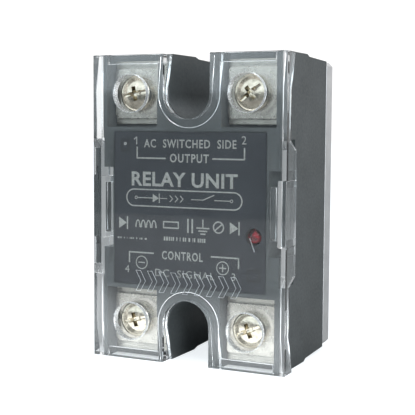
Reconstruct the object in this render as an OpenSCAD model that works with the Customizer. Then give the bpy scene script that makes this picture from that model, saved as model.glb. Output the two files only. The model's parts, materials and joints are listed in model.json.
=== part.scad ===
// Panel-mount solid state relay with a clear clip-on safety cover, in millimetres.
// Every piece is described lying on its back: X across, Y towards the load
// end, Z up from the mounting face. upright() then stands the relay on its
// lower end with its front facing -Y. The origin is the middle of the two
// mounting holes on the back face.

/* [Case] */
// Width of the black case
case_w = 37.3; // [37:0.1:37.6]
// Length of the black case
case_l = 58.5; // [58:0.1:59]
// Height from the mounting face to the front of the cover
overall_h = 28.5; // [28:0.5:32]
// Thickness of the case walls beside the terminals
side_wall_t = 1.15; // [1:0.05:1.3]
// Height of the small step around the case
step_h = 15; // [14:0.5:17]
// How far the rear of the case is stepped in at each end
end_step = 0.4; // [0.2:0.1:0.6]

/* [Mounting] */
// Thickness of the aluminium base plate
plate_t = 3.5; // [3:0.5:4]
// Distance between the two mounting holes
mount_pitch = 47.6; // [47:0.1:48]
// Diameter of the mounting holes
mount_hole_d = 4.5; // [4:0.1:5]
// Radius of the U-shaped notches that clear the mounting screws
notch_r = 4.75; // [4.5:0.05:4.8]
// Distance from the middle to the centre of each notch's arc
notch_y = 21.75; // [21.5:0.05:22]

/* [Cover] */
// Width of the clear cover
cover_w = 40; // [39.8:0.1:40.5]
// Length of the clear cover
cover_l = 58.1; // [57.8:0.1:58.3]
// Thickness of the cover's front
cover_t = 1.7; // [1.5:0.1:1.8]
// Depth of the cover's sides along their straight part
skirt_d = 2.1; // [2:0.1:2.4]
// Depth of the cover's sides at the ends
skirt_end_d = 3.8; // [3.4:0.1:3.9]
// Depth of the latch tabs
tab_d = 5; // [4.5:0.1:5.5]
// Diameter of the screwdriver holes
driver_hole_d = 7.1; // [7:0.1:7.6]

/* [Terminals] */
// Distance from the middle line to each terminal screw, across
screw_x = 12; // [11.9:0.1:12.1]
// Distance from the middle line to each terminal screw, along
screw_y = 21.8; // [21.7:0.1:22]
// Diameter of the screw heads
head_d = 6.8; // [6.6:0.1:6.8]
// Height of the screw heads
head_h = 2.1; // [1.9:0.1:2.2]
// Thread diameter of the terminal screws
thread_d = 4; // [3.5:0.5:4]
// Length of the terminal screws under the head
screw_l = 8; // [7:0.5:8]
// Thickness of the clamp plates
clamp_t = 0.8; // [0.6:0.1:1]
// Thickness of the terminal plates
term_t = 1.2; // [1:0.1:1.3]

/* [Power stage] */
// Thickness of the ceramic
ceramic_t = 0.63; // [0.5:0.01:1]
// Thickness of the copper tracks on the ceramic
copper_t = 0.3; // [0.2:0.1:0.4]
// Side of the square thyristor chips
chip_w = 8; // [6:0.5:8]
// Height of the gel above the mounting face
gel_top = 9; // [7:0.5:12]

/* [Control board] */
// Thickness of the circuit board
board_t = 1.6; // [1.2:0.2:1.6]
// Height of the board's underside above the mounting face
board_z = 15.6; // [15.2:0.2:15.8]

/* [Label and indicator] */
// Width of the label
label_w = 31.6; // [30:0.2:31.8]
// Length of the label
label_l = 29.2; // [28:0.2:29.4]
// Diameter of the indicator's lens
led_d = 3; // [2.8:0.1:3]

/* [Hidden] */
$fn = 48;
eps = 0.01;

// Case levels
seal_t = 0.2;
case_z0 = plate_t + seal_t;
cover_z = overall_h - cover_t;
case_z1 = cover_z - 0.1;
step_run = 1.4;
side_step = 0.15;
rear_draft = 0.35;
edge_chamfer = 0.4;
notch_wall = 1.9;
rim_r = notch_r + 1.6;
bay_x0 = notch_r + notch_wall;
bay_x1 = case_w / 2 - side_wall_t;
bay_y0 = 15.5;
low_cavity = [2 * (case_w / 2 - 2), case_l - 3.9];
low_cavity_top = 15;
top_cavity = [30.4, 27.8];
front_wall_t = 1.8;
ceiling_z = case_z1 - 0.3 - front_wall_t;

// Label and latch pockets
label_t = 0.15;
label_x = -0.2;
label_floor = case_z1 - 0.3;
label_gap = 0.15;
pocket_x = 16.2;
pocket_l = 15.5;
pocket_z = overall_h - 7;
recess_l = 26.7;
recess_d = 0.45;
recess_z = overall_h - 7.5;

// Cover
cover_gap = 0.1;
wall_gap = 0.2;
tab_root_l = 26.2;
tab_tip_l = 22.9;
flare_y = 22.5;
grip_x = 18;
grip_l = 12;
arm = [1.2, 9.6, 4.5];
arm_x = 16.6;
end_wall_t = 1.65;
end_wall_d = 2.6;

// Terminals
head_top = overall_h - 1.9;
clamp_top = head_top - head_h;
clamp_gap = 0.02;
term_top = clamp_top - clamp_gap - clamp_t;
term_z = term_top - term_t;
term_w = 10.4;
term_y0 = 16;
term_y1 = 28;
clamp = [10, 9.6];
leg_w = 6;
leg_t = 1.2;
thread_gap = 0.05;
clamp_hole_r = thread_d / 2 + 0.15;
nut = [7, 7, 2.2];
slot_gap = 0.1;

// Power stage
ceramic_z1 = plate_t + ceramic_t;
track_z1 = ceramic_z1 + copper_t;
chip_t = 0.4;
chip_z1 = track_z1 + chip_t;
chip_x = 8;
clip_t = 0.5;
foot_y = 11;
ceramic = [29, 23.4];
ceramic_y = 2.9;

// Control board
board = [29.4, 26.6];
board_z1 = board_z + board_t;
posts_at = [[-13.2, 11.8], [13.2, 11.8], [-13.2, -9.3], [13.2, -9.3]];
post_r = 1.2;
lead_r = 0.3;
lead_hole_r = 0.4;
shelf_z = 19.2;
pin_y = -12.4;
pin_w = 1.2;
opto = [6.4, 8.6, 3.4];
opto_at = [-4.5, 1.5];
opto_pitch = 2.54;
opto_row = 7.62;
capacitor = [11, 4.2, 6.2];
capacitor_at = [-4.6, 9.8];
led_r = led_d / 2;
led_at = [13.2, -4.3];
led_top = cover_z - 0.15;
led_flange_r = 1.85;
led_l = 5.3;
transistor_r = 2.3;
transistor_h = 4.8;
transistor_stand = 1;
transistors_at = [[-10.6, -4.6], [-4.4, -6]];

// Axial parts along X: [x, y, body radius, body length, lead spacing]
snubber_axial = [[6.4, 10.4, 1.25, 6.4, 10]];
gate_axials = [[5.4, 6.4, 0.9, 4.2, 7.6], [5.4, 3.4, 0.9, 4.2, 7.6]];
input_axial = [[4.6, -6.4, 1.25, 6.4, 10]];
diode_axial = [[4.6, -9.8, 1.1, 4.6, 8.4]];
axials = concat(snubber_axial, gate_axials, input_axial, diode_axial);

// Where leads pass through the board
function axial_pins(p) = [[p[0] - p[4] / 2, p[1]], [p[0] + p[4] / 2, p[1]]];
function opto_pins() = [for (sx = [-1, 1], k = [-1, 0, 1])
    [opto_at[0] + sx * opto_row / 2, opto_at[1] + k * opto_pitch]];
function led_pins() = [for (s = [-1, 1]) [led_at[0], led_at[1] + s * 1.27]];
function capacitor_pins() = [for (s = [-1, 1]) [capacitor_at[0] + s * 3.8, capacitor_at[1]]];
function transistor_pins() = [for (at = transistors_at, k = [-1, 0, 1])
    [at[0] + k * 1.27, at[1]]];
function gate_spots() = [for (sx = [-1, 1], d = [0, 1])
    [sx * (chip_x + 2.6 + 2.2 * d), -0.6 - 6.4 * d]];
axial_spots = [for (p = axials, spot = axial_pins(p)) spot];
lead_spots = concat(axial_spots, capacitor_pins(), transistor_pins());

// Colours
aluminium = [0.78, 0.79, 0.8];
seal_grey = [0.25, 0.25, 0.26];
case_black = [0.2, 0.21, 0.22];
clear_plastic = [0.85, 0.9, 0.92, 0.35];
label_grey = [0.25, 0.28, 0.31];
nickel = [0.8, 0.79, 0.74];
board_green = [0.1, 0.35, 0.2];
ceramic_white = [0.93, 0.93, 0.9];
copper = [0.72, 0.45, 0.28];
silicon = [0.3, 0.32, 0.38];
tin = [0.75, 0.76, 0.78];

module upright() {
    rotate([90, 0, 0]) children();
}

// Puts a piece at screw n: 1 and 2 at the load end, 4 and 3 below them
module at_screw(n) {
    side = (n == 1 || n == 4) ? -1 : 1;
    end = (n <= 2) ? 1 : -1;
    translate([side * screw_x, end * screw_y, 0]) children();
}

module at_each_screw() {
    for (n = [1:4]) at_screw(n) children();
}

// A piece drawn for the upper right corner, mirrored to corner n
module to_corner(n) {
    mirror([(n == 1 || n == 4) ? 1 : 0, 0, 0]) mirror([0, (n <= 2) ? 0 : 1, 0]) children();
}

module box(x0, x1, y0, y1, z0, z1) {
    translate([x0, y0, z0]) cube([x1 - x0, y1 - y0, z1 - z0]);
}

// A rectangle with its corners cut at 45 degrees
module cut_rect(w, l, c) {
    polygon([[-w / 2 + c, -l / 2], [w / 2 - c, -l / 2], [w / 2, -l / 2 + c], [w / 2, l / 2 - c],
        [w / 2 - c, l / 2], [-w / 2 + c, l / 2], [-w / 2, l / 2 - c], [-w / 2, -l / 2 + c]]);
}

module notch_plan(r) {
    for (s = [-1, 1]) {
        translate([0, s * notch_y]) circle(r);
        translate([-r, s > 0 ? notch_y : -notch_y - 10]) square([2 * r, 10]);
    }
}

module notches(r) {
    translate([0, 0, -1]) linear_extrude(overall_h + 2) notch_plan(r);
}

// How deep the sides and the notch rims of the cover reach at distance y from the middle
function flare(y) = skirt_d + (skirt_end_d - skirt_d) * (y - flare_y) / (cover_l / 2 - flare_y);

// The space that the cover's rims along the notches take up, seen along X
module rim_space(y_end, gap) {
    translate([0, 0, overall_h]) rotate([90, 0, 90]) linear_extrude(2 * bay_x0 + 1, center = true)
        polygon(both_sides([[flare_y, -skirt_d - gap], [y_end, -flare(y_end) - gap], [y_end, 1]]));
}

module base_plate() {
    upright() color(aluminium) difference() {
        linear_extrude(plate_t) cut_rect(case_w - 0.4, case_l - 1.6, 0.8);
        for (s = [-1, 1])
            translate([0, s * mount_pitch / 2, -1]) cylinder(d = mount_hole_d, h = plate_t + 2);
    }
}

module low_cavity_plan() {
    difference() {
        square(low_cavity, center = true);
        notch_plan(bay_x0);
    }
}

module base_seal() {
    upright() color(seal_grey) translate([0, 0, plate_t]) linear_extrude(seal_t) difference() {
        square([case_w - 1, case_l - 2.2], center = true);
        low_cavity_plan();
        notch_plan(notch_r + 0.3);
    }
}

// Half outline of the case seen from one side
function case_outline(half, step, draft) = [
    [half - step - draft, case_z0], [half - step, step_h - step_run], [half, step_h],
    [half, case_z1 - edge_chamfer], [half - edge_chamfer, case_z1]];

// Half an outline mirrored into a whole one
function both_sides(half) = concat(half,
    [for (k = [len(half) - 1:-1:0]) [-half[k][0], half[k][1]]]);

module case_blank() {
    intersection() {
        rotate([90, 0, 90]) linear_extrude(case_w + 2, center = true)
            polygon(both_sides(case_outline(case_l / 2, end_step, rear_draft)));
        rotate([90, 0, 0]) linear_extrude(case_l + 2, center = true)
            polygon(both_sides(case_outline(case_w / 2, side_step, 0.05)));
    }
}

// One terminal bay, open at the end of the case, with its nut pocket and pilot hole
module bay_cut() {
    box(bay_x0, bay_x1, bay_y0, case_l / 2 + 1, term_z, overall_h);
    translate([screw_x, screw_y, term_z - nut[2] / 2 + eps])
        cube([nut[0], nut[1], nut[2] + 2 * eps], center = true);
    translate([screw_x, screw_y, low_cavity_top + 1]) cylinder(r = 2.3, h = term_z - low_cavity_top);
}

// The slot that a load terminal's leg passes through
module load_slot() {
    box(screw_x - leg_w / 2 - slot_gap, screw_x + leg_w / 2 + slot_gap, term_y0 - slot_gap,
        term_y0 + leg_t + slot_gap, low_cavity_top - 1, term_z + eps);
}

// The stepped passage that an input terminal's leg passes through
module input_slot() {
    x0 = screw_x - leg_w / 2 - slot_gap;
    x1 = screw_x + leg_w / 2 + slot_gap;
    box(x0, x1, term_y0 - slot_gap, term_y0 + leg_t + slot_gap, shelf_z - slot_gap, term_z + eps);
    box(x0, x1, top_cavity[1] / 2 - eps, term_y0 + leg_t + slot_gap,
        shelf_z - slot_gap, shelf_z + leg_t + slot_gap);
}

// Lowers the case beside its notches, where the rims of the cover go
module rim_recesses() {
    intersection() {
        rim_space(case_l / 2 + 1, cover_gap);
        union() {
            notches(rim_r + cover_gap);
            for (s = [0, 1]) mirror([0, s, 0])
                box(-bay_x0 - eps, bay_x0 + eps, notch_y - 1, case_l / 2 + 1, 0, overall_h + 1);
        }
    }
}

module case_housing() {
    upright() color(case_black) {
        difference() {
            case_blank();
            notches(notch_r);
            rim_recesses();
            translate([0, 0, case_z0 - 1]) linear_extrude(low_cavity_top - case_z0 + 1)
                low_cavity_plan();
            translate([-top_cavity[0] / 2, -top_cavity[1] / 2, low_cavity_top - 1])
                cube([top_cavity[0], top_cavity[1], ceiling_z - low_cavity_top + 1]);
            for (n = [1:4]) to_corner(n) bay_cut();
            for (n = [1, 2]) to_corner(n) load_slot();
            for (n = [3, 4]) to_corner(n) input_slot();
            for (s = [0, 1]) mirror([s, 0, 0]) {
                box(pocket_x, case_w, -pocket_l / 2, pocket_l / 2, pocket_z, overall_h);
                box(case_w / 2 - recess_d, case_w, -recess_l / 2, recess_l / 2, recess_z, overall_h);
            }
            translate([label_x, 0, label_floor]) linear_extrude(2)
                square([label_w + 2 * label_gap, label_l + 2 * label_gap], center = true);
            translate([led_at[0], led_at[1], ceiling_z - 1]) cylinder(r = led_r + 0.1, h = 4);
        }
        for (at = posts_at) translate([at[0], at[1], board_z1])
            cylinder(r = post_r, h = ceiling_z - board_z1 + 0.5);
    }
}

// Side of the cover seen along X: shallow, deeper at the ends and at the latch tab
module skirt_profile() {
    y_end = cover_l / 2;
    polygon(both_sides([[tab_tip_l / 2, -tab_d], [tab_root_l / 2, -skirt_d], [flare_y, -skirt_d],
        [y_end, -skirt_end_d], [y_end, 0]]));
}

module cover_side() {
    x0 = case_w / 2 + cover_gap;
    translate([x0, 0, overall_h]) rotate([90, 0, 90]) linear_extrude(cover_w / 2 - x0)
        skirt_profile();
    box(grip_x, cover_w / 2, -grip_l / 2, grip_l / 2, overall_h - tab_d, overall_h);
    box(arm_x, arm_x + arm[0], -arm[1] / 2, arm[1] / 2, cover_z - arm[2], cover_z + eps);
}

module cover_end_wall() {
    y1 = cover_l / 2;
    box(rim_r - eps, bay_x1 - wall_gap, y1 - end_wall_t, y1,
        overall_h - end_wall_d, cover_z + eps);
}

// Walls along the notches, as deep as the cover's sides
module cover_rims() {
    intersection() {
        rim_space(cover_l / 2, 0);
        notches(rim_r);
        box(-rim_r, rim_r, -cover_l / 2, cover_l / 2, overall_h - skirt_end_d - 1, cover_z + eps);
    }
}

module safety_cover() {
    upright() color(clear_plastic) difference() {
        union() {
            translate([0, 0, cover_z]) linear_extrude(cover_t)
                square([cover_w, cover_l], center = true);
            for (s = [0, 1]) mirror([s, 0, 0]) cover_side();
            for (n = [1:4]) to_corner(n) cover_end_wall();
            cover_rims();
        }
        notches(notch_r + 0.05);
        translate([0, 0, cover_z - 1]) at_each_screw() cylinder(d = driver_hole_d, h = cover_t + 2);
    }
}

module front_label() {
    upright() color(label_grey) difference() {
        translate([label_x, 0, label_floor]) linear_extrude(label_t)
            square([label_w, label_l], center = true);
        translate([led_at[0], led_at[1], label_floor - 1]) cylinder(r = led_r + 0.1, h = 3);
    }
}

module led_indicator() {
    upright() color([0.75, 0.05, 0.06]) translate([led_at[0], led_at[1], led_top - led_l])
        rotate_extrude() intersection() {
            union() {
                translate([0, led_l - led_r]) circle(led_r);
                translate([0, 0]) square([led_r, led_l - led_r]);
                square([led_flange_r, 1]);
            }
            square([led_flange_r + 1, led_l + 1]);
        }
}

// Round leads from the board's underside up to the height z1
module leads(spots, z1, r = lead_r) {
    for (spot = spots) translate([spot[0], spot[1], board_z - 0.8])
        cylinder(r = r, h = z1 - board_z + 0.8, $fn = 24);
}

module led_leads() {
    upright() color(tin) leads(led_pins(), led_top - led_l);
}

// The flat top of a terminal, with the hole that its screw passes through
module terminal_top() {
    difference() {
        box(screw_x - term_w / 2, screw_x + term_w / 2, term_y0, term_y1, term_z, term_top);
        translate([screw_x, screw_y, term_z - 1]) cylinder(d = thread_d, h = term_t + 2);
    }
}

// Stamped from one strip: top, leg and a foot on the copper track
module load_terminal() {
    x0 = screw_x - leg_w / 2;
    x1 = screw_x + leg_w / 2;
    color(nickel) {
        terminal_top();
        box(x0, x1, term_y0, term_y0 + leg_t, track_z1, term_z + eps);
        box(x0, x1, foot_y, term_y0 + eps, track_z1, track_z1 + leg_t);
    }
}

// Stamped from one strip: top, leg, shelf and a pin through the board
module input_terminal() {
    x0 = screw_x - leg_w / 2;
    x1 = screw_x + leg_w / 2;
    pin_x = screw_x - 1;
    color(nickel) {
        terminal_top();
        box(x0, x1, term_y0, term_y0 + leg_t, shelf_z, term_z + eps);
        box(x0, x1, -pin_y - pin_w / 2, term_y0 + eps, shelf_z, shelf_z + leg_t);
        box(pin_x - pin_w / 2, pin_x + pin_w / 2, -pin_y - pin_w / 2, -pin_y + pin_w / 2,
            board_z - 1, shelf_z + eps);
    }
}

module clamp_plate(n) {
    upright() color(nickel) at_screw(n) translate([0, 0, term_top]) difference() {
        linear_extrude(clamp_t) cut_rect(clamp[0], clamp[1], 0.5);
        translate([0, 0, -1]) cylinder(r = clamp_hole_r, h = clamp_t + 2);
    }
}

// Pan head screw with a cross recess
module terminal_screw(n) {
    recess_d = 1.1;
    upright() color(nickel) at_screw(n) difference() {
        rotate_extrude() polygon([[0, head_top], [head_d / 2 - 0.9, head_top],
            [head_d / 2 - 0.25, head_top - 0.5], [head_d / 2, head_top - 1.2],
            [head_d / 2, clamp_top], [thread_d / 2 - thread_gap, clamp_top],
            [thread_d / 2 - thread_gap, head_top - head_h - screw_l + 0.5],
            [thread_d / 2 - 0.6, head_top - head_h - screw_l],
            [0, head_top - head_h - screw_l]]);
        for (turn = [0, 90]) rotate([0, 0, turn]) translate([0, 0, head_top])
            cube([3.6, 0.9, 2 * recess_d], center = true);
    }
}

module captive_nuts() {
    upright() color(tin) at_each_screw() translate([0, 0, term_z - nut[2]]) difference() {
        translate([-nut[0] / 2, -nut[1] / 2, 0]) cube(nut);
        translate([0, 0, -1]) cylinder(d = thread_d, h = nut[2] + 2);
    }
}

module circuit_board() {
    upright() color(board_green) difference() {
        translate([-board[0] / 2, -board[1] / 2, board_z]) cube([board[0], board[1], board_t]);
        for (spot = concat(lead_spots, opto_pins(), led_pins(), gate_spots()))
            translate([spot[0], spot[1], board_z - 1])
                cylinder(r = lead_hole_r, h = board_t + 2, $fn = 24);
        for (s = [-1, 1]) translate([s * (screw_x - 1), pin_y, board_z])
            cube([pin_w + 0.2, pin_w + 0.2, 4], center = true);
    }
}

module optocoupler() {
    upright() color([0.92, 0.92, 0.9])
        translate([opto_at[0] - opto[0] / 2, opto_at[1] - opto[1] / 2, board_z1 + 0.4]) cube(opto);
}

// Each pin leaves the body's side, turns down and passes through the board
module optocoupler_pins() {
    z_side = board_z1 + 0.4 + opto[2] / 2;
    upright() color(tin) {
        leads(opto_pins(), z_side);
        for (s = [-1, 1], k = [-1, 0, 1]) {
            y = opto_at[1] + k * opto_pitch;
            x_body = opto_at[0] + s * opto[0] / 2;
            x_pin = opto_at[0] + s * (opto_row / 2 + lead_r);
            box(min(x_body, x_pin), max(x_body, x_pin), y - lead_r, y + lead_r,
                z_side - 0.25, z_side);
        }
    }
}

module snubber_capacitor() {
    upright() color([0.15, 0.3, 0.6])
        translate([capacitor_at[0], capacitor_at[1], board_z1])
        linear_extrude(capacitor[2]) cut_rect(capacitor[0], capacitor[1], 0.4);
}

// Bodies of axial parts, lying just above the board
module axial_bodies(parts) {
    for (p = parts) translate([p[0], p[1], board_z1 + p[2] + 0.1]) rotate([0, 90, 0])
        cylinder(r = p[2], h = p[3], center = true);
}

module snubber_resistor() {
    upright() color([0.55, 0.6, 0.62]) axial_bodies(snubber_axial);
}

module gate_resistors() {
    upright() color([0.75, 0.65, 0.5]) axial_bodies(gate_axials);
}

module input_resistor() {
    upright() color([0.75, 0.65, 0.5]) axial_bodies(input_axial);
}

module input_diode() {
    upright() color([0.15, 0.15, 0.15]) axial_bodies(diode_axial);
}

// Round transistor bodies with one flat side
module drive_transistors() {
    upright() color([0.12, 0.12, 0.13])
        for (at = transistors_at) translate([at[0], at[1], board_z1 + transistor_stand])
            intersection() {
                cylinder(r = transistor_r, h = transistor_h);
                box(-3, 3, -3, 1.2, -1, transistor_h + 1);
            }
}

// Leads of the axial parts, the capacitor and the transistors
module component_leads() {
    upright() color(tin) {
        for (p = axials) {
            z = board_z1 + p[2] + 0.1;
            leads(axial_pins(p), z, 0.25);
            for (s = [-1, 1]) translate([p[0] + s * (p[3] + p[4]) / 4, p[1], z])
                rotate([0, 90, 0]) cylinder(r = 0.25, h = (p[4] - p[3]) / 2, center = true, $fn = 24);
        }
        leads(capacitor_pins(), board_z1);
        leads(transistor_pins(), board_z1 + transistor_stand);
    }
}

module ceramic_substrate() {
    upright() color(ceramic_white)
        translate([-ceramic[0] / 2, ceramic_y - ceramic[1] / 2, plate_t])
        cube([ceramic[0], ceramic[1], ceramic_t]);
}

// Two mirrored copper tracks, each with a foot and a chip soldered to it
module copper_tracks() {
    upright() color(copper) for (s = [0, 1]) mirror([s, 0, 0])
        box(1.2, 14, -7.8, 14, ceramic_z1, track_z1);
}

module thyristor_chips() {
    upright() color(silicon) for (s = [-1, 1])
        translate([s * chip_x - chip_w / 2, -chip_w / 2, track_z1]) cube([chip_w, chip_w, chip_t]);
}

// Each clip joins the top of one chip to the other chip's track
module chip_clips() {
    upright() color(copper) for (s = [0, 180]) rotate([0, 0, s]) {
        box(-10, 2, 0.8, 3.4, chip_z1, chip_z1 + clip_t);
        box(2 - eps, 3.2, 0.8, 3.4, track_z1, chip_z1 + clip_t);
    }
}

// Thin wires from the chips and the tracks up to the board
module gate_leads() {
    upright() color(tin) for (spot = gate_spots()) {
        z0 = abs(spot[0]) < chip_x + chip_w / 2 ? chip_z1 : track_z1;
        translate([spot[0], spot[1], z0]) cylinder(r = lead_r, h = board_z1 + 0.5 - z0, $fn = 24);
    }
}

// The stretch of every piece that the gel flows round, as plain boxes and rods
module gel_hollows() {
    box(-ceramic[0] / 2, ceramic[0] / 2, ceramic_y - ceramic[1] / 2,
        ceramic_y + ceramic[1] / 2, plate_t - 1, ceramic_z1);
    for (s = [0, 1]) mirror([s, 0, 0]) {
        box(1.2, 14, -7.8, 14, ceramic_z1 - eps, track_z1);
        box(chip_x - chip_w / 2, chip_x + chip_w / 2, -chip_w / 2, chip_w / 2,
            track_z1 - eps, chip_z1);
        box(screw_x - leg_w / 2, screw_x + leg_w / 2, term_y0, term_y0 + leg_t,
            track_z1, gel_top + 1);
        box(screw_x - leg_w / 2, screw_x + leg_w / 2, foot_y, term_y0 + eps,
            track_z1 - eps, track_z1 + leg_t);
    }
    for (s = [0, 180]) rotate([0, 0, s]) {
        box(-10, 3.2, 0.8, 3.4, chip_z1 - eps, chip_z1 + clip_t);
        box(2, 3.2, 0.8, 3.4, track_z1, chip_z1 + eps);
    }
    for (spot = gate_spots()) translate([spot[0], spot[1], track_z1])
        cylinder(r = lead_r, h = gel_top, $fn = 24);
}

module silicone_gel() {
    upright() color([0.85, 0.88, 0.9, 0.5]) difference() {
        translate([0, 0, plate_t]) linear_extrude(gel_top - plate_t) low_cavity_plan();
        gel_hollows();
    }
}

base_plate();
base_seal();
case_housing();
safety_cover();
front_label();
led_indicator();
led_leads();
upright() to_corner(1) load_terminal();  // load_terminal_1
upright() to_corner(2) load_terminal();  // load_terminal_2
upright() to_corner(3) input_terminal();  // input_terminal_3
upright() to_corner(4) input_terminal();  // input_terminal_4
clamp_plate(1);  // clamp_plate_1
clamp_plate(2);  // clamp_plate_2
clamp_plate(3);  // clamp_plate_3
clamp_plate(4);  // clamp_plate_4
terminal_screw(1);  // terminal_screw_1
terminal_screw(2);  // terminal_screw_2
terminal_screw(3);  // terminal_screw_3
terminal_screw(4);  // terminal_screw_4
captive_nuts();
circuit_board();
optocoupler();
optocoupler_pins();
snubber_capacitor();
snubber_resistor();
gate_resistors();
input_resistor();
input_diode();
drive_transistors();
component_leads();
ceramic_substrate();
copper_tracks();
thyristor_chips();
chip_clips();
gate_leads();
silicone_gel();
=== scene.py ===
# %% [markdown]
# # A panel-mount solid state relay under a clear cover
# The relay is a black moulded case on an aluminium plate, closed by a polished clear cover
# that keeps fingers off four screw terminals. Everything that fits or moves was designed
# as a solid model. This lesson gives that model its finish: rounded moulding edges, real
# screw heads, a printed label, and a cover that bends light as polycarbonate does.

# %% Load the solid model
import json
import math
import random

import bmesh
import bpy
from mathutils import Matrix, Vector


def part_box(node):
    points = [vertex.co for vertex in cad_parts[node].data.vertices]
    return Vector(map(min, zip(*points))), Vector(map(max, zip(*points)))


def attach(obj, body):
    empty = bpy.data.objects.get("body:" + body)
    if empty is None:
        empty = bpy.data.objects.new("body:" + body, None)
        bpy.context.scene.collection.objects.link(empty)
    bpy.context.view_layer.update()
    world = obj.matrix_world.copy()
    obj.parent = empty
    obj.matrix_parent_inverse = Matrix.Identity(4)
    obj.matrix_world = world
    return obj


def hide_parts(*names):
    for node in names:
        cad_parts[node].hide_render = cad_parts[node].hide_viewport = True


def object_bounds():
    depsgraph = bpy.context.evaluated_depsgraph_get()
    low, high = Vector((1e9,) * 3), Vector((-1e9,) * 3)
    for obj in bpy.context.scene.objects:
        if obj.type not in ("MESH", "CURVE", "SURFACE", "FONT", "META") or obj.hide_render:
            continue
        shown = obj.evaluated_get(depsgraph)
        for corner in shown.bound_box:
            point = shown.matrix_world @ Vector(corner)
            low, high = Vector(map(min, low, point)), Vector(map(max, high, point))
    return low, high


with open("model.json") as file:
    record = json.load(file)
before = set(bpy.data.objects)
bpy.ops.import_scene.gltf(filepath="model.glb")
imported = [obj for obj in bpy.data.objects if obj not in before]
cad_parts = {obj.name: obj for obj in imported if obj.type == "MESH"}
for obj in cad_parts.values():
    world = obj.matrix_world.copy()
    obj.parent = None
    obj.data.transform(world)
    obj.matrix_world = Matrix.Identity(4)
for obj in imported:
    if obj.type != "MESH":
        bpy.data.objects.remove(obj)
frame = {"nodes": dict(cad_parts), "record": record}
CAD_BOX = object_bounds()
nodes = frame["nodes"]
MM = 0.001
print("solid model, mm:", [[round(v / MM, 2) for v in corner] for corner in CAD_BOX])

# %% [markdown]
# ## The camera
# A product shot of a small part is taken from close by with a long lens, so the sides
# converge a little. The camera stands right of the front and slightly above the middle.

# %% Camera
SENSOR = 36.0
LENS = 87.68
CAMERA_AT = Vector((85.13, -194.76, 16.19)) * MM
TURN_LEFT = math.radians(25.86)
LOOK_DOWN = math.radians(4.75)
ROLL = math.radians(0.32)

camera_data = bpy.data.cameras.new("camera")
camera_data.sensor_width = SENSOR
camera_data.lens = LENS
camera_data.clip_start = 0.005
camera = bpy.data.objects.new("camera", camera_data)
bpy.context.scene.collection.objects.link(camera)
camera.matrix_world = (Matrix.Translation(CAMERA_AT) @ Matrix.Rotation(TURN_LEFT, 4, "Z")
                       @ Matrix.Rotation(math.pi / 2 - LOOK_DOWN, 4, "X")
                       @ Matrix.Rotation(ROLL, 4, "Z"))
bpy.context.scene.camera = camera
print("camera stands", round(CAMERA_AT.length / MM), "mm from the relay's middle")

# %% [markdown]
# ## A way to write materials
# Every finish here is a Principled shader with small patterns on it. These helpers add one
# node each, so that a finish reads as a short recipe. Patterns read Object coordinates, in
# metres, so a grain of 0.1 mm has a scale of 1 / 0.1 mm.

# %% Material helpers
class Finish:
    """A material with a Principled shader, and short calls that add pattern nodes."""

    def __init__(self, name, color, roughness, **sockets):
        self.material = bpy.data.materials.new(name)
        self.material.use_nodes = True
        self.tree = self.material.node_tree
        self.shader = self.tree.nodes["Principled BSDF"]
        self.shader.inputs["Base Color"].default_value = (*color, 1)
        self.shader.inputs["Roughness"].default_value = roughness
        for socket, value in sockets.items():
            self.shader.inputs[socket.replace("_", " ")].default_value = value
        self.place = self.tree.nodes.new("ShaderNodeTexCoord").outputs["Object"]

    def link(self, out, socket):
        self.tree.links.new(out, socket)

    def stretched(self, scale):
        """Object coordinates scaled differently along x, y and z."""
        mapping = self.tree.nodes.new("ShaderNodeMapping")
        mapping.inputs["Scale"].default_value = scale
        self.link(self.place, mapping.inputs["Vector"])
        return mapping.outputs["Vector"]

    def noise(self, size, detail=2.0, along=None):
        """Soft random pattern whose lumps are about size metres across."""
        node = self.tree.nodes.new("ShaderNodeTexNoise")
        node.inputs["Scale"].default_value = 1 / size
        node.inputs["Detail"].default_value = detail
        self.link(along or self.place, node.inputs["Vector"])
        return node.outputs["Fac"]

    def between(self, fac, low, high, a, b):
        """a where fac is low, b where it is high."""
        node = self.tree.nodes.new("ShaderNodeMapRange")
        for socket, value in zip(("From Min", "From Max", "To Min", "To Max"), (low, high, a, b)):
            node.inputs[socket].default_value = value
        self.link(fac, node.inputs["Value"])
        return node.outputs["Result"]

    def tint(self, fac, low, high, color_a, color_b):
        """A colour that goes from color_a to color_b as fac goes from low to high."""
        node = self.tree.nodes.new("ShaderNodeValToRGB")
        for stop, at, color in zip(node.color_ramp.elements, (low, high), (color_a, color_b)):
            stop.position = at
            stop.color = (*color, 1)
        self.link(fac, node.inputs["Fac"])
        self.link(node.outputs["Color"], self.shader.inputs["Base Color"])

    def rough(self, fac, low, high, a, b):
        self.link(self.between(fac, low, high, a, b), self.shader.inputs["Roughness"])

    def bump(self, fac, depth, strength=1.0, under=None):
        """A relief depth metres deep. under is a bump that this one lies on."""
        node = self.tree.nodes.new("ShaderNodeBump")
        node.inputs["Distance"].default_value = depth
        node.inputs["Strength"].default_value = strength
        self.link(fac, node.inputs["Height"])
        if under:
            self.link(under, node.inputs["Normal"])
        self.link(node.outputs["Normal"], self.shader.inputs["Normal"])
        return node.outputs["Normal"]

    def clear_shadow(self):
        """Lets light straight through to what is behind, as a thin clear wall does."""
        add = self.tree.nodes.new
        light_path = add("ShaderNodeLightPath")
        clear = add("ShaderNodeBsdfTransparent")
        mix = add("ShaderNodeMixShader")
        self.link(light_path.outputs["Is Shadow Ray"], mix.inputs["Fac"])
        self.link(self.shader.outputs["BSDF"], mix.inputs[1])
        self.link(clear.outputs["BSDF"], mix.inputs[2])
        self.link(mix.outputs["Shader"], self.tree.nodes["Material Output"].inputs["Surface"])

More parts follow.
